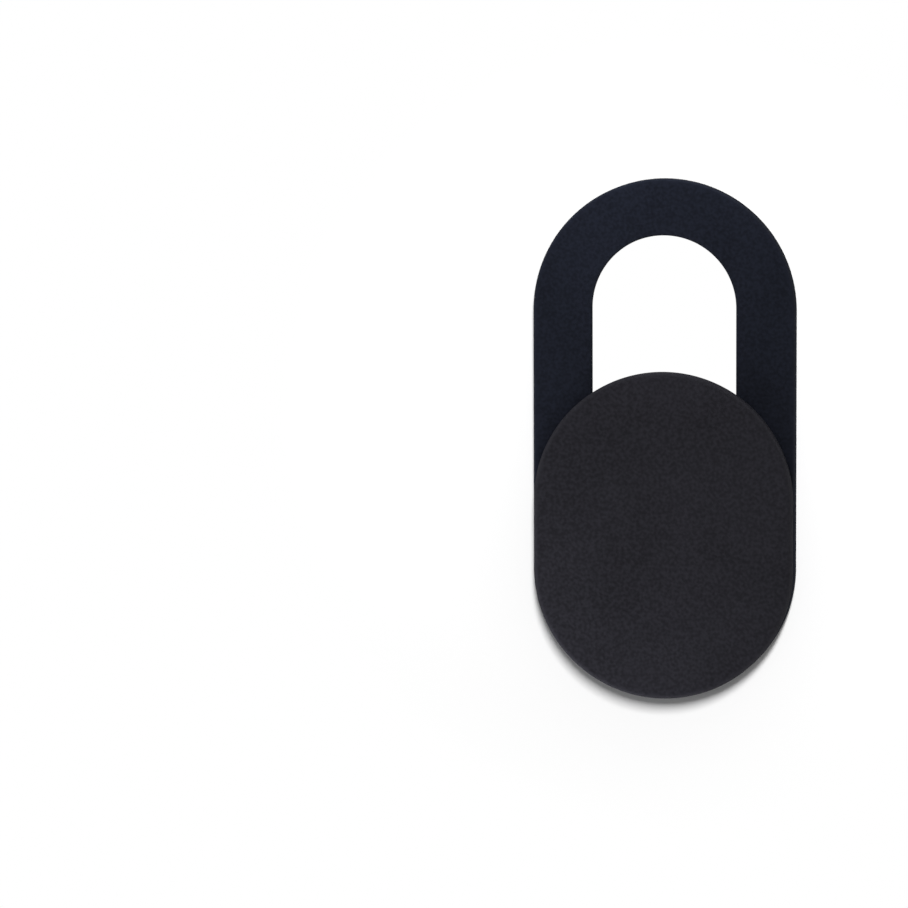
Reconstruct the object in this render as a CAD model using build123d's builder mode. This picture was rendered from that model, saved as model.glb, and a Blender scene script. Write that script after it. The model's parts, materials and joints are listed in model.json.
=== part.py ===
from build123d import *
import math
import os

# Stick-on webcam cover: a pill-shaped frame goes round the lens, and a pill-shaped shutter
# slides along the frame's window to cover the lens or bare it.
# The cover lies on its adhesive back: X across it, Y along the slide, +Z towards the user.
# The origin is on the adhesive face, under the middle of the frame. All sizes are in mm.

# Outlines
frame_length = 18.0
frame_width = 9.1
rim_at_ends = 1.95  # frame's outer edge to the window, along the slide
rim_at_sides = 2.05  # frame's outer edge to the window, across the slide
shutter_length = 11.35
shutter_side_inset = 0.05  # how far the shutter's sides stand inside the frame's

# Walls
tape_thickness = 0.10
lip_thickness = 0.24  # the frame's front wall, which the shutter and the keeper clasp
shutter_thickness = 0.40
keeper_thickness = 0.20

# Clearances
glide_gap = 0.03  # shutter to lip, and lip to keeper
key_side_play = 0.05  # guide key to each side of the window
key_end_play = 0.05  # guide key to the window's end at each stop
track_play = 0.10  # keeper to the wall of its track
keeper_setback = 0.03  # keeper's back to the frame's back
stake_play = 0.02  # stake to its hole

# Keeper and the two stakes that hold it
keeper_overlap = 0.80  # how far the keeper reaches behind the lip
stake_diameter = 1.00
stake_head_diameter = 1.40
stake_head_depth = 0.10
stake_spacing = 3.20

# Adhesive ring
tape_edge_inset = 0.15  # from the frame's outer edge
tape_track_margin = 0.10  # from the keeper's track

# Edges
frame_edge_radius = 0.10
window_edge_radius = 0.07
shutter_edge_radius = 0.18
keeper_edge_chamfer = 0.05

# The window, and the stroke that takes the shutter from flush at one end to flush at the other
window_length = frame_length - 2 * rim_at_ends
window_width = frame_width - 2 * rim_at_sides
shutter_width = frame_width - 2 * shutter_side_inset
stroke = frame_length - shutter_length
shutter_middle = -stroke / 2  # at rest the shutter is at its lower stop, with the lens bared

# The guide key runs in the window, and the keeper in a track in the frame's back
key_length = shutter_length - 2 * (rim_at_ends + key_end_play)
key_width = window_width - 2 * key_side_play
keeper_length = key_length + 2 * keeper_overlap
keeper_width = key_width + 2 * keeper_overlap
track_length = keeper_length + stroke + 2 * track_play
track_width = keeper_width + 2 * track_play
track_depth = keeper_setback + keeper_thickness + glide_gap
frame_thickness = track_depth + lip_thickness

# Heights above the adhesive face
frame_back = tape_thickness
keeper_back = frame_back + keeper_setback
keeper_front = keeper_back + keeper_thickness
shutter_back = frame_back + frame_thickness + glide_gap

stake_radius = stake_diameter / 2
stake_head_radius = stake_head_diameter / 2
stake_head_angle = 2 * math.degrees(math.atan((stake_head_radius - stake_radius) / stake_head_depth))

# Frame: a moulded plate with a window, recessed at the back for the keeper
with BuildPart() as frame:
    with BuildSketch(Plane.XY.offset(frame_back)):
        SlotOverall(frame_length, frame_width, rotation=90)
        SlotOverall(window_length, window_width, rotation=90, mode=Mode.SUBTRACT)
    extrude(amount=frame_thickness)
    with BuildSketch(Plane.XY.offset(frame_back)):
        SlotOverall(track_length, track_width, rotation=90)
    extrude(amount=track_depth, mode=Mode.SUBTRACT)
    fillet(frame.faces().sort_by(Axis.Z)[-1].outer_wire().edges(), frame_edge_radius)
    fillet(frame.faces().sort_by(Axis.Z)[-1].inner_wires()[0].edges(), window_edge_radius)
frame.part.label = "frame"

# Shutter: the plate that a finger moves, with a guide key and two stakes on its back
with BuildPart() as shutter:
    with BuildSketch(Plane.XY.offset(shutter_back)):
        with Locations((0, shutter_middle)):
            SlotOverall(shutter_length, shutter_width, rotation=90)
    extrude(amount=shutter_thickness)
    fillet(shutter.faces().sort_by(Axis.Z)[-1].edges(), shutter_edge_radius)
    with BuildSketch(Plane.XY.offset(keeper_front)):
        with Locations((0, shutter_middle)):
            SlotOverall(key_length, key_width, rotation=90)
    extrude(amount=shutter_back - keeper_front)
    with Locations((0, shutter_middle, keeper_back)):
        with GridLocations(stake_spacing, stake_spacing, 1, 2):
            Cylinder(stake_radius, keeper_thickness, align=(Align.CENTER, Align.CENTER, Align.MIN))
            Cone(
                stake_head_radius,
                stake_radius,
                stake_head_depth,
                align=(Align.CENTER, Align.CENTER, Align.MIN),
            )
shutter.part.label = "shutter"

# Keeper: the plate behind the frame's lip, held by the stakes' flared heads
with BuildPart() as keeper:
    with BuildSketch(Plane.XY.offset(keeper_back)):
        with Locations((0, shutter_middle)):
            SlotOverall(keeper_length, keeper_width, rotation=90)
    extrude(amount=keeper_thickness)
    chamfer(keeper.faces().sort_by(Axis.Z)[0].edges(), keeper_edge_chamfer)
    with Locations(Plane((0, shutter_middle, keeper_back), x_dir=(1, 0, 0), z_dir=(0, 0, -1))):
        with GridLocations(stake_spacing, stake_spacing, 1, 2):
            CounterSinkHole(
                stake_radius + stake_play,
                stake_head_radius + stake_play,
                counter_sink_angle=stake_head_angle,
            )
keeper.part.label = "keeper"

# Adhesive ring: double-sided tape die-cut to the frame's back, clear of the keeper's track
with BuildPart() as adhesive_ring:
    with BuildSketch(Plane.XY):
        SlotOverall(frame_length - 2 * tape_edge_inset, frame_width - 2 * tape_edge_inset, rotation=90)
        SlotOverall(
            track_length + 2 * tape_track_margin,
            track_width + 2 * tape_track_margin,
            rotation=90,
            mode=Mode.SUBTRACT,
        )
    extrude(amount=tape_thickness)
adhesive_ring.part.label = "adhesive_ring"

os.makedirs("parts", exist_ok=True)
export_step(frame.part, "parts/frame.step")
export_step(shutter.part, "parts/shutter.step")
export_step(keeper.part, "parts/keeper.step")
export_step(adhesive_ring.part, "parts/adhesive_ring.step")
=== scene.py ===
# %% [markdown]
# # A webcam cover with a sliding shutter
#
# The cover is stuck round a laptop's camera. A pill-shaped frame carries a pill-shaped shutter, and a finger
# slides the shutter along the frame's window to cover the lens or bare it. Four pieces make it up: the frame,
# the shutter, a keeper plate behind the frame and a ring of double-sided tape. Together they are about a
# millimetre thick, so the work here is in clean outlines, fine rounded edges and believable plastic.
#
# The imported model is loaded first. It says how large each piece is, where it lies and which body it moves
# with.

# %% Load the imported cover
import json
import math
from collections import namedtuple

import bmesh
import bpy
from mathutils import Matrix, Vector


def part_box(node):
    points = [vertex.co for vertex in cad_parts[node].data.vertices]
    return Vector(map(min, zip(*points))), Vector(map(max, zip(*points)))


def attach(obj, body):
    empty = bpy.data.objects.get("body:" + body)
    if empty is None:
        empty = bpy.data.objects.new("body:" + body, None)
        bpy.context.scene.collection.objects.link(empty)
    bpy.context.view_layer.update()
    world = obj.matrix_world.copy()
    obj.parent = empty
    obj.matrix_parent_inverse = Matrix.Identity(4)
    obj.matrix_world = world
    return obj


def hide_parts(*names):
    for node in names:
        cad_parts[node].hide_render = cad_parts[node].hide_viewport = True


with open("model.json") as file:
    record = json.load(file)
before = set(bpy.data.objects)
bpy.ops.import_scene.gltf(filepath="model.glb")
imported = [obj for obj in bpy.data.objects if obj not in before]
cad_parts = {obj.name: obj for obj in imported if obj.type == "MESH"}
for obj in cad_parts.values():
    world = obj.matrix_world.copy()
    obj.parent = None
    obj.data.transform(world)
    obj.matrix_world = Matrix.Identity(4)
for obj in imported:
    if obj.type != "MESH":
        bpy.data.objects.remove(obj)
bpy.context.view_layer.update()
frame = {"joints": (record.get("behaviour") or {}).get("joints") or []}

MM = 0.001

# %% [markdown]
# ## Sizes
#
# Every outline on this cover is a pill: a straight stretch with a half circle at each end. So an outline is
# three numbers, its length, its width and the place of its middle along the slide, and most of them come
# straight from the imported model's boxes. What a box can't tell, such as the width of the rim round the window
# or the gap that lets the shutter glide, is written here once.
#
# Blender's modelling tools treat lengths under about a hundredth of a millimetre as nothing, and the gaps
# here are only three times that. So the pieces are modelled a thousand times too large, one unit to the
# millimetre, and each is shrunk to its real size once it is finished.

# %% Outlines
Pill = namedtuple("Pill", "length width middle")


def corners(node):
    return [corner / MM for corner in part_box(node)]


def pill_of(node):
    low, high = corners(node)
    return Pill(high.y - low.y, high.x - low.x, (low.y + high.y) / 2)


def grown(pill, along, across):
    return Pill(pill.length + 2 * along, pill.width + 2 * across, pill.middle)


rim_at_ends = 1.95
rim_at_sides = 2.05
key_play = 0.05
keeper_overlap = 0.80
track_play = 0.10
tape_track_margin = 0.10
stroke = frame["joints"][0]["range_m"][1] / MM

frame_outline = pill_of("frame")
window_outline = grown(frame_outline, -rim_at_ends, -rim_at_sides)
shutter_outline = pill_of("shutter")
key_outline = Pill(
    shutter_outline.length - 2 * (rim_at_ends + key_play),
    window_outline.width - 2 * key_play,
    shutter_outline.middle,
)
keeper_outline = grown(key_outline, keeper_overlap, keeper_overlap)
track_outline = Pill(
    keeper_outline.length + stroke + 2 * track_play,
    keeper_outline.width + 2 * track_play,
    frame_outline.middle,
)
tape_outline = pill_of("adhesive_ring")
tape_hole = grown(track_outline, tape_track_margin, tape_track_margin)
for name, pill in (("frame", frame_outline), ("window", window_outline), ("shutter", shutter_outline)):
    print(f"{name}: {pill.length:.2f} x {pill.width:.2f} mm")

# %% Heights above the adhesive face
glide_gap = 0.03
tape_back, tape_front = (corner.z for corner in corners("adhesive_ring"))
frame_back, frame_front = (corner.z for corner in corners("frame"))
keeper_back, keeper_front = (corner.z for corner in corners("keeper"))
lip_back = keeper_front + glide_gap
shutter_back = frame_front + glide_gap
shutter_front = corners("shutter")[1].z
print(f"The frame's front wall is {frame_front - lip_back:.2f} mm thick")

# %% [markdown]
# ## Drawing with pills
#
# A pill could be a curve with two arcs, or a cylinder cut and stretched. Here it is a circle in edit mode
# whose two halves are pulled apart. The circle is turned by half a step, so no point lies where the halves
# part, and its radius is raised a little, so the middles of its straight steps touch the true curve and the
# outline keeps its exact width and length.
#
# From there one outline can walk round a whole section. It is extruded up or down to make a wall, or extruded
# on the spot and reshaped to another pill to make a flat step. Bridging separate outlines would do too, but
# two outlines in one plane can be bridged the wrong way round, and a walked section can't twist. Operators
# act on what is selected, so each helper first selects the points or edges that it works on by their place.

# %% Draw an outline
outline_points = 256


def begin_piece(name):
    """Starts an empty mesh at the origin, in edit mode, with nothing else selected."""
    bpy.ops.object.select_all(action="DESELECT")
    bpy.ops.object.add(type="MESH", enter_editmode=True, location=(0, 0, 0))
    piece = bpy.context.object
    piece.name = name
    piece.data.name = name
    return piece


def each_half(middle):
    """Of the points selected now, selects those beyond the middle, then the others, and gives +1 or -1."""
    mesh = bmesh.from_edit_mesh(bpy.context.object.data)
    points = [vertex for vertex in mesh.verts if vertex.select]
    for way in (1, -1):
        bpy.ops.mesh.select_all(action="DESELECT")
        for point in points:
            if (point.co.y - middle) * way > 0:
                point.select_set(True)
        yield way


def half_straight(pill):
    return (pill.length - pill.width) / 2


def draw_pill(pill, height):
    """Adds a ring of edges, a circle whose halves are pulled apart, and gives back its outline and height."""
    half_step = math.pi / outline_points
    bpy.ops.mesh.select_mode(type="VERT")
    bpy.ops.mesh.primitive_circle_add(
        vertices=outline_points,
        radius=pill.width / 2 / math.cos(half_step),
        location=(0, pill.middle, height),
        rotation=(0, 0, half_step),
    )
    for way in each_half(pill.middle):
        bpy.ops.transform.translate(value=(0, way * half_straight(pill), 0))
    return pill, height


stray = frame_outline.width / 2 * (1 / math.cos(math.pi / outline_points) - 1)
print(f"A drawn outline strays at most {stray:.4f} mm from the true curve")

# %% Select an outline by its place
place_tolerance = 0.002


def lies_on(point, pill, height):
    """True where a point is on the pill's outline at that height."""
    along = point.y - pill.middle
    nearest = max(-half_straight(pill), min(half_straight(pill), along))
    off = math.hypot(point.x, along - nearest) - pill.width / 2
    return abs(off) < place_tolerance and abs(point.z - height) < place_tolerance


def select_rings(*rings):
    """Selects the edges that lie on the outlines, each given as a pill and a height."""
    bpy.ops.mesh.select_mode(type="EDGE")
    bpy.ops.mesh.select_all(action="DESELECT")
    mesh = bmesh.from_edit_mesh(bpy.context.object.data)
    for edge in mesh.edges:
        ends = [vertex.co for vertex in edge.verts]
        if any(all(lies_on(end, *ring) for end in ends) for ring in rings):
            edge.select_set(True)


print("A point within", place_tolerance, "mm of an outline lies on it")

# %% Walk and close an outline
def close_ring(ring):
    select_rings(ring)
    bpy.ops.mesh.edge_face_add()


def pull_ring(ring, height):
    """Extrudes an outline straight up or down to a new height, and gives back the new ring."""
    pill, start = ring
    select_rings(ring)
    bpy.ops.mesh.extrude_region_move(TRANSFORM_OT_translate={"value": (0, 0, height - start)})
    return pill, height


def step_ring(ring, pill):
    """Extrudes an outline on the spot and reshapes it to another pill in the same plane."""
    start, height = ring
    select_rings(ring)
    bpy.ops.mesh.extrude_region_move()
    bpy.ops.mesh.select_mode(type="VERT")
    ratio = pill.width / start.width
    for way in each_half(start.middle):
        centre = start.middle + way * half_straight(start)
        goal = pill.middle + way * half_straight(pill)
        bpy.ops.transform.resize(value=(ratio, ratio, 1), center_override=(0, centre, height))
        bpy.ops.transform.translate(value=(0, goal - centre, 0))
    return pill, height


def join_rings(first, second):
    """Bridges two outlines that lie one above the other."""
    select_rings(first, second)
    bpy.ops.mesh.bridge_edge_loops()


# %% Round or break an edge
broken_edge = 0.02


def round_ring(ring, radius, steps):
    select_rings(ring)
    bpy.ops.mesh.bevel(offset=radius, segments=steps, affect="EDGES", clamp_overlap=True)


def break_ring(ring):
    """Takes the sharpness off an edge that nobody touches."""
    round_ring(ring, broken_edge, steps=2)


print("A broken edge is", broken_edge, "mm wide")

# %% [markdown]
# ## Finishing a mesh
#
# Smooth shading blends the light across edges, and an angle limit keeps real corners crisp. On a flat face
# that borders a fine rounding the blend would still spread over the whole face, as if it were pillowed. The
# Weighted Normal modifier lets the large flat faces decide, so only the rounding itself looks round.
#
# The last step shrinks the piece to metres and applies the scale, so its object ends up plain: at the origin,
# unturned, with its place and size in the mesh. The printed volume is a quick test: a band that was joined
# the wrong way round, or a hole, would change it at once.

# %% Normals, shading and real size
crisp_angle = math.radians(50)


def apply_modifier(piece, kind, **settings):
    bpy.context.view_layer.objects.active = piece
    modifier = piece.modifiers.new(kind.lower(), kind)
    for name, value in settings.items():
        setattr(modifier, name, value)
    bpy.ops.object.modifier_apply(modifier=modifier.name)


def turn_faces_outwards(piece):
    """Recalculates the normals of a closed mesh and goes back to object mode."""
    if piece.mode != "EDIT":
        bpy.ops.object.mode_set(mode="EDIT")
    bpy.ops.mesh.select_all(action="SELECT")
    bpy.ops.mesh.normals_make_consistent(inside=False)
    bpy.ops.object.mode_set(mode="OBJECT")


def finish_piece(piece):
    turn_faces_outwards(piece)
    bpy.ops.object.shade_smooth_by_angle(angle=crisp_angle)
    apply_modifier(piece, "WEIGHTED_NORMAL", keep_sharp=True)
    mesh = bmesh.new()
    mesh.from_mesh(piece.data)
    open_edges = sum(not edge.is_manifold for edge in mesh.edges)
    volume = mesh.calc_volume()
    print(f"{piece.name}: {len(mesh.faces)} faces, {open_edges} open edges, {volume:.2f} cubic mm")
    mesh.free()
    piece.scale = (MM, MM, MM)
    bpy.ops.object.transform_apply(location=False, rotation=False, scale=True)


print("Corners of more than", round(math.degrees(crisp_angle)), "degrees stay crisp")

# %% [markdown]
# ## Frame
#
# The frame is one moulding: a flat ring whose back is cut away round the window, as the track for the keeper.
# It could be cut from a block with Boolean modifiers, but an outline that walks round its section follows it
# exactly: across the front, down the window, out along the roof of the track, down the track's wall and back
# across the rear face. A bridge up the outer wall closes it. The outer front edge is rounded the most,
# because fingers pass over it. The window's edge is a tighter rounding, and the edges at the back are only
# broken.

# %% Model the frame
frame_edge_radius = 0.10
window_edge_radius = 0.07

frame_piece = begin_piece("frame_moulding")
front_ring = draw_pill(frame_outline, frame_front)
window_ring = step_ring(front_ring, window_outline)
window_foot = pull_ring(window_ring, lip_back)
track_roof = step_ring(window_foot, track_outline)
track_foot = pull_ring(track_roof, frame_back)
back_ring = step_ring(track_foot, frame_outline)
join_rings(back_ring, front_ring)
round_ring(front_ring, frame_edge_radius, steps=6)
round_ring(window_ring, window_edge_radius, steps=5)
for ring in (window_foot, track_foot, back_ring):
    break_ring(ring)
finish_piece(frame_piece)

# %% [markdown]
# ## Stakes
#
# Two plastic stakes on the back of the shutter go through the keeper, and a hot tool flares their ends into
# countersunk holes. The same flared post serves twice: once as the stake, and once, a little larger, as the
# cutter that leaves the hole. It starts as a cone for the flare, and its two flat ends are extruded on.

# %% Stakes
stake_radius = 0.50
stake_head_radius = 0.70
stake_head_depth = 0.10
stake_spacing = 3.20
stake_play = 0.02
stake_places = [shutter_outline.middle + side * stake_spacing / 2 for side in (-1, 1)]
flare_top = keeper_back + stake_head_depth
print("Stakes stand", [round(place, 2) for place in stake_places], "mm along the slide")

# %% A flared post
round_points = 96
level_enough = 0.99


def select_level_faces(height, up):
    """Selects the flat faces at one height that look up or down."""
    bpy.ops.mesh.select_mode(type="FACE")
    bpy.ops.mesh.select_all(action="DESELECT")
    mesh = bmesh.from_edit_mesh(bpy.context.object.data)
    for face in mesh.faces:
        level = abs(face.calc_center_median().z - height) < place_tolerance
        if level and face.normal.z * up > level_enough:
            face.select_set(True)


def stretch_end(start, end):
    """Extrudes the post's flat end from one height to another."""
    select_level_faces(start, math.copysign(1, end - start))
    bpy.ops.mesh.extrude_region_move(TRANSFORM_OT_translate={"value": (0, 0, end - start)})


def flared_post(place, play, top):
    """A post from the keeper's back to a height, with its flared end down, left in edit mode."""
    bpy.ops.object.select_all(action="DESELECT")
    bpy.ops.mesh.primitive_cone_add(
        vertices=round_points,
        radius1=stake_head_radius + play,
        radius2=stake_radius + play,
        depth=stake_head_depth,
        location=(0, place, (keeper_back + flare_top) / 2),
    )
    bpy.ops.object.transform_apply(location=True)
    bpy.ops.object.mode_set(mode="EDIT")
    stretch_end(flare_top, top)
    return bpy.context.object


print("A post has", round_points, "sides")

# %% Join two meshes, or cut one out of the other
def combine(piece, tool, operation):
    """Joins a closed mesh to a piece, or cuts it out, and removes it."""
    bpy.ops.object.mode_set(mode="OBJECT")
    bpy.ops.object.select_all(action="DESELECT")
    piece.select_set(True)
    apply_modifier(piece, "BOOLEAN", object=tool, operation=operation, solver="EXACT")
    bpy.data.objects.remove(tool)


# %% [markdown]
# ## Shutter
#
# The shutter is the plate that the finger moves. A pill-shaped key on its back fills the window's width and
# guides it, and the two stakes stand on the key. The plate's front edge has the softest rounding of all, and
# the heads of the stakes get a shallow dish, which is the mark that the hot tool leaves.

# %% Model the shutter
shutter_edge_radius = 0.18
dish_margin = 0.18
dish_depth = 0.025
stake_root = 0.10

shutter_piece = begin_piece("shutter_moulding")
plate_front = draw_pill(shutter_outline, shutter_front)
close_ring(plate_front)
plate_back = pull_ring(plate_front, shutter_back)
key_root = step_ring(plate_back, key_outline)
key_foot = pull_ring(key_root, keeper_front)
close_ring(key_foot)
round_ring(plate_front, shutter_edge_radius, steps=10)
break_ring(plate_back)
break_ring(key_foot)
turn_faces_outwards(shutter_piece)
for place in stake_places:
    stake = flared_post(place, play=0, top=keeper_front + stake_root)
    select_level_faces(keeper_back, up=-1)
    bpy.ops.mesh.inset(thickness=dish_margin, depth=-dish_depth)
    combine(shutter_piece, stake, "UNION")
finish_piece(shutter_piece)

# %% [markdown]
# ## Keeper
#
# The keeper is a plain thin plate, so a closed outline extruded to its thickness is nearly all of it. Its
# back edges are chamfered, and the two countersunk holes are cut with the flared post, which is given a
# little more room than the stakes have and is long enough to pass through both faces.

# %% Model the keeper
keeper_chamfer = 0.05
cutter_reach = 0.10

keeper_piece = begin_piece("keeper_plate")
keeper_foot = draw_pill(keeper_outline, keeper_back)
close_ring(keeper_foot)
keeper_top = pull_ring(keeper_foot, keeper_front)
close_ring(keeper_top)
round_ring(keeper_foot, keeper_chamfer, steps=1)
break_ring(keeper_top)
turn_faces_outwards(keeper_piece)
for place in stake_places:
    cutter = flared_post(place, play=stake_play, top=keeper_front + cutter_reach)
    stretch_end(keeper_back, keeper_back - cutter_reach)
    combine(keeper_piece, cutter, "DIFFERENCE")
finish_piece(keeper_piece)

# %% [markdown]
# ## Adhesive ring
#
# The tape is a thin soft film between two die-cut outlines. Pressure makes its edges bulge a little, so the
# edges are rounded over much of its thickness and not left square.

# %% Model the tape
tape_edge_radius = 0.03

tape_piece = begin_piece("tape_ring")
tape_top = draw_pill(tape_outline, tape_front)
tape_hole_top = step_ring(tape_top, tape_hole)
tape_hole_foot = pull_ring(tape_hole_top, tape_back)
tape_foot = step_ring(tape_hole_foot, tape_outline)
join_rings(tape_foot, tape_top)
for ring in (tape_top, tape_hole_top, tape_foot, tape_hole_foot):
    round_ring(ring, tape_edge_radius, steps=3)
finish_piece(tape_piece)

# %% [markdown]
# ## Building materials from nodes
#
# All the colours and textures are worked out by nodes from Object coordinates. Those are metres here, so a
# noise of 10,000 waves per metre has grains a tenth of a millimetre wide. A few small helpers keep the node
# code short: an input is given as a plain value or as another node's output, and both are written alike.

# %% Add a node
def feed(tree, socket, value):
    """Links another node's output to a socket, or sets the socket to a plain value."""
    if isinstance(value, bpy.types.NodeSocket):
        tree.links.new(value, socket)
    else:
        socket.default_value = value


def add_node(tree, kind, inputs=None, **settings):
    """Adds a node, sets its properties and feeds its inputs."""
    node = tree.nodes.new(kind)
    for name, value in settings.items():
        setattr(node, name, value)
    for name, value in (inputs or {}).items():
        feed(tree, node.inputs[name], value)
    return node


# %% Work with values and patterns
def maths(tree, operation, first, second=0.0):
    return add_node(tree, "ShaderNodeMath", {0: first, 1: second}, operation=operation).outputs["Value"]


def vector_maths(tree, operation, first, second=(0, 0, 0)):
    return add_node(tree, "ShaderNodeVectorMath", {0: first, 1: second}, operation=operation).outputs


def change(tree, value, start, end, low=0.0, high=1.0):
    """Goes smoothly from low to high while a value goes from start to end."""
    limits = {"Value": value, "From Min": start, "From Max": end, "To Min": low, "To Max": high}
    return add_node(tree, "ShaderNodeMapRange", limits, interpolation_type="SMOOTHSTEP").outputs["Result"]


def mixed(tree, share, first, second, kind="RGBA"):
    inputs = {"Factor": share, "A": first, "B": second}
    return add_node(tree, "ShaderNodeMix", inputs, data_type=kind).outputs["Result"]


def noise(tree, place, waves_per_metre, detail):
    inputs = {"Vector": place, "Scale": waves_per_metre, "Detail": detail}
    return add_node(tree, "ShaderNodeTexNoise", inputs).outputs["Fac"]


# %% Start a node group or a material
def new_group(name, inputs, outputs):
    """Starts a node group with named sockets, and gives back its tree and the outputs of its input node."""
    group = bpy.data.node_groups.new(name, "ShaderNodeTree")
    for socket, kind in inputs.items():
        group.interface.new_socket(socket, in_out="INPUT", socket_type="NodeSocket" + kind)
    for socket in outputs:
        group.interface.new_socket(socket, in_out="OUTPUT", socket_type="NodeSocketFloat")
    return group, add_node(group, "NodeGroupInput").outputs


def new_material(name):
    """A fresh material, with its tree and its shader."""
    material = bpy.data.materials.new(name)
    material.use_nodes = True
    return material, material.node_tree, material.node_tree.nodes["Principled BSDF"]


def object_place(tree):
    return add_node(tree, "ShaderNodeTexCoord").outputs["Object"]


# %% [markdown]
# ## Distance from an edge
#
# Several finishes depend on how far a point is from an edge: edges are the part that a mould polishes and
# fingers rub. Blender can guess edges from the mesh, but here they are known exactly, because each edge is a
# pill. The distance to a pill is short to work out: what lies beyond the straight stretch counts as a circle,
# and the rest as a straight side. The group gives the depth inside the outline, less than nothing outside it.

# %% Pill depth node group
def build_pill_depth():
    sockets = {"Coordinates": "Vector", "Half Straight": "Float", "Radius": "Float", "Middle": "Float"}
    group, given = new_group("pill_depth", sockets, ["Depth"])
    apart = add_node(group, "ShaderNodeSeparateXYZ", {"Vector": given["Coordinates"]}).outputs
    along = maths(group, "ABSOLUTE", maths(group, "SUBTRACT", apart["Y"], given["Middle"]))
    beyond = maths(group, "MAXIMUM", maths(group, "SUBTRACT", along, given["Half Straight"]), 0.0)
    off = add_node(group, "ShaderNodeCombineXYZ", {"X": apart["X"], "Y": beyond}).outputs["Vector"]
    away = vector_maths(group, "LENGTH", off)["Value"]
    add_node(group, "NodeGroupOutput", {"Depth": maths(group, "SUBTRACT", given["Radius"], away)})
    return group


pill_depth_group = build_pill_depth()


def depth_in(tree, place, pill):
    """How deep a point lies inside a pill's outline, in metres."""
    inputs = {
        "Coordinates": place,
        "Half Straight": half_straight(pill) * MM,
        "Radius": pill.width / 2 * MM,
        "Middle": pill.middle * MM,
    }
    return add_node(tree, "ShaderNodeGroup", inputs, node_tree=pill_depth_group).outputs["Depth"]


print("The pill depth group takes", [item.name for item in pill_depth_group.interface.items_tree][1:])

# %% [markdown]
# ## Moulded grain
#
# The steel mould for such plastic is eroded by sparks, which leave small overlapping craters and take the
# shine off what is moulded in it. Voronoi cells make the craters. A noise of the same size makes the specks:
# painted light and shade in the colour, standing in for the light that each tiny hill and hollow catches. A
# much broader noise makes the faint clouds that any moulded plastic shows. Noise mostly keeps to the middle of
# its range, so that part is spread over the whole. All three plastic pieces have some of this, in different
# strengths, so it is a node group.

# %% Grain node group
crater_blend = 0.6
crater_range = (0.15, 0.75)
speck_detail = 0.5
speck_range = (0.2, 0.8)
cloud_detail = 3.0
usual_noise = (0.3, 0.7)


def build_grain():
    sockets = {"Coordinates": "Vector", "Craters per Metre": "Float", "Clouds per Metre": "Float"}
    group, given = new_group("moulded_grain", sockets, ["Craters", "Speck Shading", "Clouds"])
    place = given["Coordinates"]
    cell_inputs = {"Vector": place, "Scale": given["Craters per Metre"], "Smoothness": crater_blend}
    cells = add_node(group, "ShaderNodeTexVoronoi", cell_inputs, feature="SMOOTH_F1").outputs["Distance"]
    fine = noise(group, place, given["Craters per Metre"], speck_detail)
    broad = noise(group, place, given["Clouds per Metre"], cloud_detail)
    results = {
        "Craters": change(group, cells, *crater_range),
        "Speck Shading": change(group, fine, *speck_range),
        "Clouds": change(group, broad, *usual_noise),
    }
    add_node(group, "NodeGroupOutput", results)
    return group


grain_group = build_grain()
print("The grain group holds", len(grain_group.nodes), "nodes")

# %% [markdown]
# ## Polished edges and a painted edge highlight
#
# A mould leaves edges a little smoother than faces, and handling polishes them further, which makes black
# plastic shinier there. The edges are also painted a shade lighter, partly for that wear and partly as a
# painted highlight that stands in for the light the rounded edges catch. The edge group turns the distance
# from an edge into a mask, and breaks it up with noise so that no edge is polished evenly.

# %% Edge polish node group
patches_per_metre = 1600.0
patch_detail = 4.0
least_polish = 0.35


def build_edge_polish():
    sockets = {"Coordinates": "Vector", "Distance": "Float", "Reach": "Float"}
    group, given = new_group("edge_polish_and_highlight", sockets, ["Polish And Highlight"])
    near = maths(group, "SUBTRACT", 1.0, maths(group, "DIVIDE", given["Distance"], given["Reach"]))
    uneven = noise(group, given["Coordinates"], patches_per_metre, patch_detail)
    patches = change(group, uneven, *usual_noise, low=least_polish)
    polish_and_highlight = maths(group, "MULTIPLY", change(group, near, 0.0, 1.0), patches)
    add_node(group, "NodeGroupOutput", {"Polish And Highlight": polish_and_highlight})
    return group


edge_polish_and_highlight_group = build_edge_polish()
print("The edge polish group holds", len(edge_polish_and_highlight_group.nodes), "nodes")

# %% [markdown]
# ## A moulded surface
#
# The three plastics are put together alike. Grain lies on the faces that the mould textures, and fades on the
# walls, which are left smooth so that the piece slips out of the mould. The specks paint light and shade into
# the tone from point to point, the clouds change tone and shine slowly, and the outer edge is shinier and
# painted lighter, partly for wear and partly as a painted highlight. The function gives back a colour, a
# roughness and a relief, so a piece can add its own marks before they reach its shader.

# %% Moulded surface
# The edge tone is partly wear and partly a painted highlight on the rounded edges.
Tones = namedtuple("Tones", "dark light edge")
Surface = namedtuple("Surface", "colour roughness relief")
clouds_per_metre = 420.0
cloud_share = 0.25
cloud_roughness = 0.04
texture_fade = 0.1
polish_reach = 0.24 * MM
polished_roughness = 0.62


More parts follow.
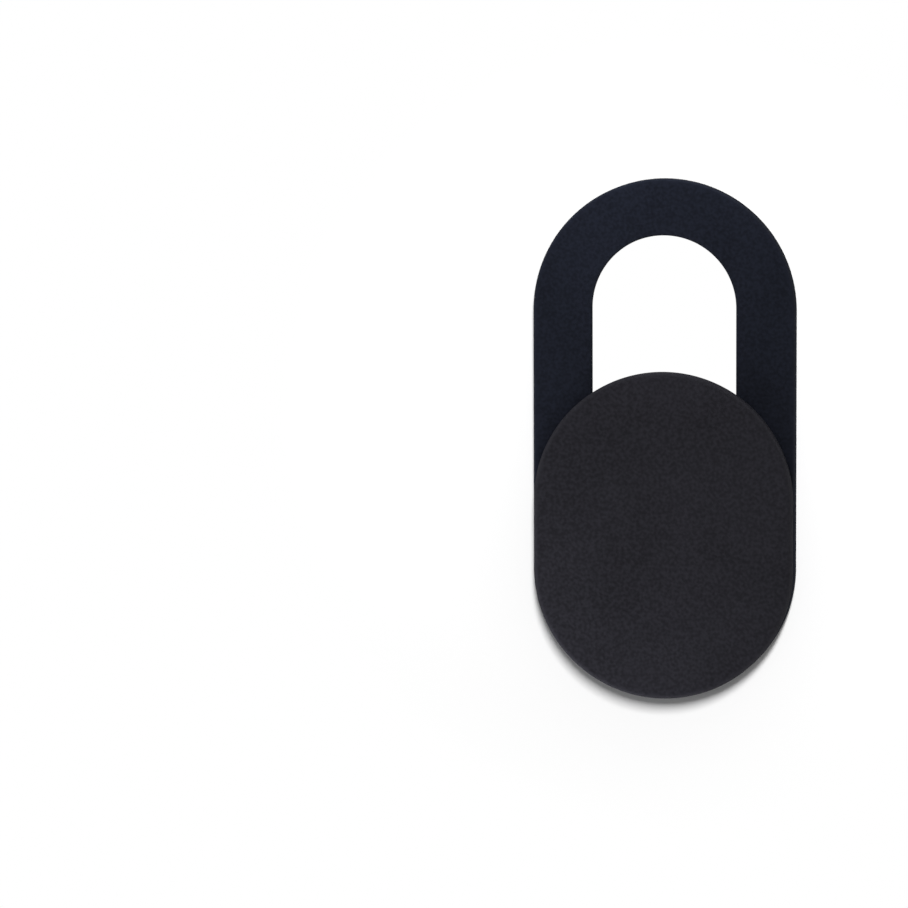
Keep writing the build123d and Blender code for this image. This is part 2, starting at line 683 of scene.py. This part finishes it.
def moulded_surface(tree, place, tones, roughness, craters_per_metre, textured_from, edge):
    """A grained surface of dark and light tones, textured above a height, with a polished edge painted lighter
    as a highlight.
    """
    dark, light, edge_wear_and_highlight_tone = ((*tone, 1) for tone in tones)
    grain_inputs = {
        "Coordinates": place,
        "Craters per Metre": craters_per_metre,
        "Clouds per Metre": clouds_per_metre,
    }
    grain = add_node(tree, "ShaderNodeGroup", grain_inputs, node_tree=grain_group).outputs
    height = add_node(tree, "ShaderNodeSeparateXYZ", {"Vector": place}).outputs["Z"]
    textured = change(tree, height, (textured_from - texture_fade) * MM, textured_from * MM)
    distance = maths(tree, "ABSOLUTE", depth_in(tree, place, edge))
    polish_inputs = {"Coordinates": place, "Distance": distance, "Reach": polish_reach}
    polish_and_highlight = add_node(tree, "ShaderNodeGroup", polish_inputs, node_tree=edge_polish_and_highlight_group).outputs["Polish And Highlight"]
    relief = maths(tree, "MULTIPLY", grain["Craters"], textured)
    # The specks are painted light and shade of the grain's tiny hills and hollows; the clouds are the plastic's
    # own uneven tone.
    tone = mixed(tree, cloud_share, grain["Speck Shading"], grain["Clouds"], "FLOAT")
    # Near the outer edge the colour turns to the edge tone: partly polish, partly a painted highlight.
    colour = mixed(tree, polish_and_highlight, mixed(tree, tone, dark, light), edge_wear_and_highlight_tone)
    smoothest, roughest = roughness - cloud_roughness, roughness + cloud_roughness
    clouded = change(tree, grain["Clouds"], 0.0, 1.0, smoothest, roughest)
    return Surface(colour, mixed(tree, polish_and_highlight, clouded, polished_roughness, "FLOAT"), relief)


print("The polish reaches", round(polish_reach / MM, 2), "mm in from an edge")

# %% Put a surface on its shader
def dress(tree, shader, surface, relief_depth, specular):
    """Feeds a surface to its shader, with the relief as a bump of a real depth."""
    feed(tree, shader.inputs["Base Color"], surface.colour)
    feed(tree, shader.inputs["Roughness"], surface.roughness)
    bump_inputs = {"Strength": 1.0, "Distance": relief_depth * MM, "Height": surface.relief}
    feed(tree, shader.inputs["Normal"], add_node(tree, "ShaderNodeBump", bump_inputs).outputs["Normal"])
    shader.inputs["Specular IOR Level"].default_value = specular


# %% [markdown]
# ## Frame plastic
#
# The frame is blue-black and a little smoother than the shutter, so its grain is finer and shallower. Its
# outer edge, which fingers pass over, is the polished one; its lighter edge tone is partly a painted highlight.

# %% Frame plastic
# The edge tone is a little lighter: partly wear, partly a painted highlight on the rounding.
frame_tones = Tones(
    dark=(0.0061, 0.0075, 0.0131), light=(0.0115, 0.0141, 0.0247), edge=(0.0119, 0.0146, 0.0256)
)

frame_plastic, tree, shader = new_material("frame_plastic")
frame_surface = moulded_surface(
    tree,
    object_place(tree),
    frame_tones,
    roughness=0.68,
    craters_per_metre=9500.0,
    textured_from=frame_front,
    edge=frame_outline,
)
dress(tree, shader, frame_surface, relief_depth=0.004, specular=0.25)
print("Frame plastic:", len(tree.nodes), "nodes")

# %% [markdown]
# ## Shutter plastic
#
# The shutter is a neutral charcoal with the coarsest grain, which gives a finger some hold. On its back the
# stakes' heads are different: the hot tool that flared them left them glossy, with fine turned rings. The two
# heads are mirror images across the shutter's middle, so one folded coordinate serves both.

# %% Marks of the hot tool
head_roughness = 0.24
rings_per_metre = 14000.0
ring_depth = 0.25


def stake_heads(tree, place):
    """A mask of the two heads, and the relief of the turned rings on them."""
    apart = add_node(tree, "ShaderNodeSeparateXYZ", {"Vector": place}).outputs
    from_middle = maths(tree, "ABSOLUTE", maths(tree, "SUBTRACT", apart["Y"], shutter_outline.middle * MM))
    folded = maths(tree, "SUBTRACT", from_middle, stake_spacing / 2 * MM)
    off_axis = add_node(tree, "ShaderNodeCombineXYZ", {"X": apart["X"], "Y": folded}).outputs["Vector"]
    from_axis = vector_maths(tree, "LENGTH", off_axis)["Value"]
    low = change(tree, apart["Z"], keeper_front * MM, flare_top * MM)
    inside = change(tree, from_axis, (stake_head_radius + stake_play) * MM, stake_head_radius * MM)
    head = maths(tree, "MULTIPLY", low, inside)
    rings = maths(tree, "SINE", maths(tree, "MULTIPLY", from_axis, rings_per_metre * 2 * math.pi))
    return head, maths(tree, "MULTIPLY", maths(tree, "MULTIPLY", rings, ring_depth), head)


print("A head has", round(rings_per_metre * stake_head_radius * MM), "turned rings")

# %% Shutter plastic
# The edge tone is partly wear and partly a painted highlight on the rounding.
shutter_tones = Tones(
    dark=(0.0121, 0.0117, 0.0154), light=(0.0233, 0.0226, 0.0296), edge=(0.0217, 0.0211, 0.0276)
)

shutter_plastic, tree, shader = new_material("shutter_plastic")
place = object_place(tree)
face = moulded_surface(
    tree,
    place,
    shutter_tones,
    roughness=0.72,
    craters_per_metre=9000.0,
    textured_from=shutter_front - shutter_edge_radius / 2,
    edge=shutter_outline,
)
head, marks = stake_heads(tree, place)
shutter_surface = Surface(
    face.colour,
    mixed(tree, head, face.roughness, head_roughness, "FLOAT"),
    maths(tree, "ADD", face.relief, marks),
)
dress(tree, shader, shutter_surface, relief_depth=0.005, specular=0.25)
print("Shutter plastic:", len(tree.nodes), "nodes")

# %% [markdown]
# ## Keeper plastic
#
# Nobody sees the keeper once the cover is stuck on, so its mould is left as the milling cutter and a quick
# polish left it: satin, with fine lines along the piece. Noise makes such lines when its coordinates are
# squeezed along one direction.

# %% Keeper plastic
# The lighter edge tone is partly wear and partly a painted highlight on the rounding.
keeper_tones = Tones(
    dark=(0.0125, 0.0125, 0.0138), light=(0.0180, 0.0180, 0.0200), edge=(0.0230, 0.0230, 0.0255)
)
line_stretch = (1.0, 0.03, 1.0)
lines_per_metre = 16000.0
line_detail = 2.0
line_share = 0.4
line_roughness = 0.03

keeper_plastic, tree, shader = new_material("keeper_plastic")
place = object_place(tree)
plate = moulded_surface(
    tree,
    place,
    keeper_tones,
    roughness=0.46,
    craters_per_metre=6000.0,
    textured_from=keeper_back,
    edge=keeper_outline,
)
stretched = vector_maths(tree, "MULTIPLY", place, line_stretch)["Vector"]
lines = noise(tree, stretched, lines_per_metre, line_detail)
lined = change(tree, lines, *usual_noise, low=-line_roughness, high=line_roughness)
keeper_surface = Surface(
    plate.colour,
    maths(tree, "ADD", plate.roughness, lined),
    mixed(tree, line_share, plate.relief, lines, "FLOAT"),
)
dress(tree, shader, keeper_surface, relief_depth=0.004, specular=0.4)
print("Keeper plastic:", len(tree.nodes), "nodes")

# %% [markdown]
# ## Adhesive tape
#
# The tape is milky acrylic glue on a sheet of tissue, whose long fibres show through in all directions. Each
# set of fibres is a noise that is turned, squeezed into lines and cut down to its crests, and the strongest
# of three sets shows.

# %% Tissue fibres
fibre_angles = [math.radians(angle) for angle in (18, 82, 141)]
fibre_stretch = (1.0, 0.07, 1.0)
fibres_per_metre = 7000.0
fibre_detail = 2.0
crest_level = 0.5
crest_width = 0.03


def fibre_set(tree, place, angle):
    """The crests of a noise that is stretched along one direction."""
    turn = {"Vector": place, "Angle": angle}
    turned = add_node(tree, "ShaderNodeVectorRotate", turn, rotation_type="Z_AXIS").outputs["Vector"]
    stretched = vector_maths(tree, "MULTIPLY", turned, fibre_stretch)["Vector"]
    waves = noise(tree, stretched, fibres_per_metre, fibre_detail)
    from_crest = maths(tree, "ABSOLUTE", maths(tree, "SUBTRACT", waves, crest_level))
    return change(tree, from_crest, crest_width, 0.0)


print("Fibres run in", len(fibre_angles), "directions")

# %% Adhesive tape
glue_thin = (0.52, 0.50, 0.44, 1)
glue_thick = (0.64, 0.62, 0.56, 1)
glue_swells_per_metre = 900.0
glue_detail = 3.0
glue_roughness = 0.26
fibre_white = (0.80, 0.79, 0.75, 1)
fibre_cover = 0.6
fibre_roughness = 0.5
fibre_share = 0.5

adhesive_tape, tree, shader = new_material("adhesive_tape")
place = object_place(tree)
sets = [fibre_set(tree, place, angle) for angle in fibre_angles]
fibres = maths(tree, "MAXIMUM", maths(tree, "MAXIMUM", sets[0], sets[1]), sets[2])
swells = noise(tree, place, glue_swells_per_metre, glue_detail)
thickness = change(tree, swells, *usual_noise)
glue = mixed(tree, thickness, glue_thin, glue_thick)
tape_surface = Surface(
    mixed(tree, maths(tree, "MULTIPLY", fibres, fibre_cover), glue, fibre_white),
    change(tree, fibres, 0.0, 1.0, glue_roughness, fibre_roughness),
    mixed(tree, fibre_share, thickness, fibres, "FLOAT"),
)
dress(tree, shader, tape_surface, relief_depth=0.004, specular=0.5)
print("Adhesive tape:", len(tree.nodes), "nodes")

# %% [markdown]
# ## Placing the pieces on the moving bodies
#
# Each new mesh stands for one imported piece, takes that piece's material slot and rides on the body that
# carries it, so the shutter and its keeper slide together and the tape stays on the frame.

# %% Ride, replace and name the slots
pieces = (frame_piece, shutter_piece, keeper_piece, tape_piece)
for piece, node, body, slot, material in (
    (frame_piece, "frame", "frame", "frame_plastic", frame_plastic),
    (shutter_piece, "shutter", "shutter", "shutter_plastic", shutter_plastic),
    (keeper_piece, "keeper", "shutter", "keeper_plastic", keeper_plastic),
    (tape_piece, "adhesive_ring", "frame", "adhesive_tape", adhesive_tape),
):
    piece.data.materials.clear()
    piece.data.materials.append(material)
    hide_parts(node)
    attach(piece, body)
    print(piece.name, "stands for", node, "on", body)

# %% [markdown]
# ## Floor and background
#
# The cover lies on a plain white floor. Near the cover the floor is matt paper that takes its shadow. Further
# out, and where it shows through the window, rays from the camera meet plain white, so the background stays
# white while the light on the cover keeps its level. Mirror-like and see-through surfaces would show the same
# white, so their rays are counted too. The white under the window reaches a little way under the frame, so
# that its edge is never seen. The floor lies a hair lower than the tape, so that no two faces share a plane.

# %% Floor
floor_size = 1.0
floor_drop = 0.001 * MM

bpy.ops.object.select_all(action="DESELECT")
bpy.ops.mesh.primitive_plane_add(size=floor_size, location=(0, 0, -floor_drop))
floor = bpy.context.object
floor.name = "floor"
print("The floor is", floor_size, "m wide")

# %% Floor paint
paper_white = (0.88, 0.88, 0.88, 1)
plain_white = (1, 1, 1, 1)
shadow_reach = 10.5 * MM
white_from = 14 * MM

floor_paint, tree, shader = new_material("floor_paint")
place = object_place(tree)
tree.nodes.remove(shader)
rays = add_node(tree, "ShaderNodeLightPath").outputs
seen = maths(tree, "MAXIMUM", rays["Is Camera Ray"], rays["Is Glossy Ray"])
seen = maths(tree, "MAXIMUM", seen, rays["Is Transmission Ray"])
far = change(tree, vector_maths(tree, "LENGTH", place)["Value"], shadow_reach, white_from)
under_window = maths(tree, "GREATER_THAN", depth_in(tree, place, tape_hole), 0.0)
plain = maths(tree, "MULTIPLY", seen, maths(tree, "MAXIMUM", far, under_window))
matt = add_node(tree, "ShaderNodeBsdfDiffuse", {"Color": paper_white}).outputs["BSDF"]
white = add_node(tree, "ShaderNodeEmission", {"Color": plain_white, "Strength": 1.0}).outputs["Emission"]
surface = add_node(tree, "ShaderNodeMixShader", {0: plain, 1: matt, 2: white}).outputs["Shader"]
feed(tree, tree.nodes["Material Output"].inputs["Surface"], surface)
floor.data.materials.append(floor_paint)
print("The floor is white beyond", white_from / MM, "mm")

# %% [markdown]
# ## Grey card
#
# Seen at a grazing angle even black plastic mirrors what lies beside it, and a bright floor would draw a pale
# line along the cover's thin walls. Photographers lay dark card round such an object, as close as the picture
# allows. Here the card can lie right under the cover, because an object can be hidden from the camera, from
# shadows and from diffuse light. Only reflections meet it.

# %% Card
card_grey = (0.30, 0.30, 0.30, 1)
card_size = 48 * MM

bpy.ops.object.select_all(action="DESELECT")
bpy.ops.mesh.primitive_plane_add(size=card_size, location=(0, 0, -floor_drop / 2))
card = bpy.context.object
card.name = "grey_card"
card.visible_camera = False
card.visible_shadow = False
card.visible_diffuse = False
card_paint, tree, shader = new_material("card_paint")
shader.inputs["Base Color"].default_value = card_grey
shader.inputs["Roughness"].default_value = 1.0
shader.inputs["Specular IOR Level"].default_value = 0.0
card.data.materials.append(card_paint)
print("The card is", round(card_size / MM), "mm wide")

# %% [markdown]
# ## Lights
#
# The room is white low down and dark overhead. So faces that are seen at a slant have a faint sheen and
# rounded edges catch a soft line of light, but a black face that looks up at the camera mirrors nothing and
# stays black.
#
# The light itself comes from lamps that aren't mirrored, as if the camera looked through a polarising filter,
# which photographers use to take the glare off black plastic. The dome is a sun as wide as the sky. With the
# room it gives half of the light, and darkens the corner where the shutter's edge rises from the frame. Three
# boxes hang low and close. The front box shines along the slide from the shutter's end, so the plate throws
# a short shadow on both legs of the frame. The left box makes the plate lighter on that side, and the top box
# lifts the frame's bare end. Light linking keeps these lamps on the cover and off the floor, like flags set
# beside a lamp. The floor has its own two: the shadow box shines from beyond the bare end, a little from the
# camera's side, so that the soft shadow looks even round the shutter's end, and a faint dome sets how deep
# that shadow is.

# %% Room
wall_top = 0.05
ceiling_from = 0.60
ceiling_level = 0.04

world = bpy.data.worlds.new("studio")
bpy.context.scene.world = world
world.use_nodes = True
tree = world.node_tree
direction = add_node(tree, "ShaderNodeTexCoord").outputs["Generated"]
upward = add_node(tree, "ShaderNodeSeparateXYZ", {"Vector": direction}).outputs["Z"]
room = change(tree, upward, wall_top, ceiling_from, 1.0, ceiling_level)
background = tree.nodes["Background"]
background.inputs["Color"].default_value = plain_white
feed(tree, background.inputs["Strength"], room)
print("The ceiling gives", ceiling_level, "of plain white light")

# %% Hang a lamp
def hang_lamp(lamp, place, lit):
    """Hangs a lamp at a place in millimetres, aims it at the origin and links it to what it lights."""
    spot = Vector(place) * MM
    holder = bpy.data.objects.new(lamp.name, lamp)
    bpy.context.scene.collection.objects.link(holder)
    holder.location = spot
    holder.rotation_euler = spot.to_track_quat("Z", "Y").to_euler()
    holder.visible_camera = False
    holder.visible_glossy = False
    receivers = bpy.data.collections.new("lit_by_" + lamp.name)
    for item in lit:
        receivers.objects.link(item)
    holder.light_linking.receiver_collection = receivers
    print(lamp.name, "lights", len(lit), "objects")


# %% Domes over the cover and the floor
dome_angle = math.radians(170)
dome_place = (0, 0, 100)


def hang_dome(name, share, lit):
    """A sun nearly as wide as the sky, which gives its share of plain white light."""
    lamp = bpy.data.lights.new(name, "SUN")
    lamp.angle = dome_angle
    lamp.energy = share * math.pi
    hang_lamp(lamp, dome_place, lit)


hang_dome("dome", share=0.34, lit=[*pieces, card])
hang_dome("floor_dome", share=0.10, lit=[floor])

# %% Soft boxes
def soft_box(name, place, width, length, share, lit):
    """An area light, sized in millimetres, that gives its share of plain white light at the origin."""
    lamp = bpy.data.lights.new(name, "AREA")
    lamp.shape = "RECTANGLE"
    lamp.size = width * MM
    lamp.size_y = length * MM
    lamp.energy = share * math.pi ** 2 * (Vector(place) * MM).length_squared
    hang_lamp(lamp, place, lit)


soft_box("front_box", (-6, -25, 10), width=5, length=4, share=0.35, lit=pieces)
soft_box("left_box", (-12, -12, 7), width=3, length=3, share=0.32, lit=pieces)
soft_box("top_box", (-3, 18, 9), width=4, length=4, share=0.45, lit=pieces)
soft_box("shadow_box", (22, 74, 153), width=20, length=66, share=1.1, lit=[floor])

# %% [markdown]
# ## Camera
#
# The photograph looks at the front of the cover from very slightly to its right and from above: the frame
# shows a little past the shutter on the right, and the round ends look a little skewed. A long lens keeps the
# sides parallel. Seen squarely, the frame's length would cover a known number of pixels, which gives the
# distance. The camera is first turned to face the cover, and then about its own axes until the cover stands
# right of the picture's middle and a little above it.

# %% Camera
image_pixels = 908
frame_pixels = 521.1
frame_centre_pixel = (663.7, 439.5)
lens_mm = 200.0
sensor_mm = 36.0
seen_from_right = math.radians(7)
seen_from_above = math.radians(5.7)
nearest_share = 0.01

pixel = frame_outline.length * MM / frame_pixels
per_pixel = sensor_mm / lens_mm / image_pixels
aimed_left = math.atan((frame_centre_pixel[0] - image_pixels / 2) * per_pixel)
aimed_below = math.atan((image_pixels / 2 - frame_centre_pixel[1]) * per_pixel)
distance = pixel / per_pixel / math.cos(aimed_left)
facing = Matrix.Rotation(seen_from_right, 3, "Y") @ Matrix.Rotation(-seen_from_above, 3, "X")
turned = Matrix.Rotation(aimed_left, 3, "Y") @ Matrix.Rotation(-aimed_below, 3, "X")
camera_data = bpy.data.cameras.new("camera")
camera_data.lens = lens_mm
camera_data.sensor_width = sensor_mm
camera_data.clip_start = nearest_share * distance
camera = bpy.data.objects.new("camera", camera_data)
bpy.context.scene.collection.objects.link(camera)
camera.location = Vector((0, 0, frame_front * MM)) + facing @ Vector((0, 0, distance))
camera.rotation_euler = (facing @ turned).to_euler()
bpy.context.scene.camera = camera
bpy.context.scene.view_settings.view_transform = "Standard"
print("The camera stands at", [round(value / MM, 2) for value in camera.location], "mm")
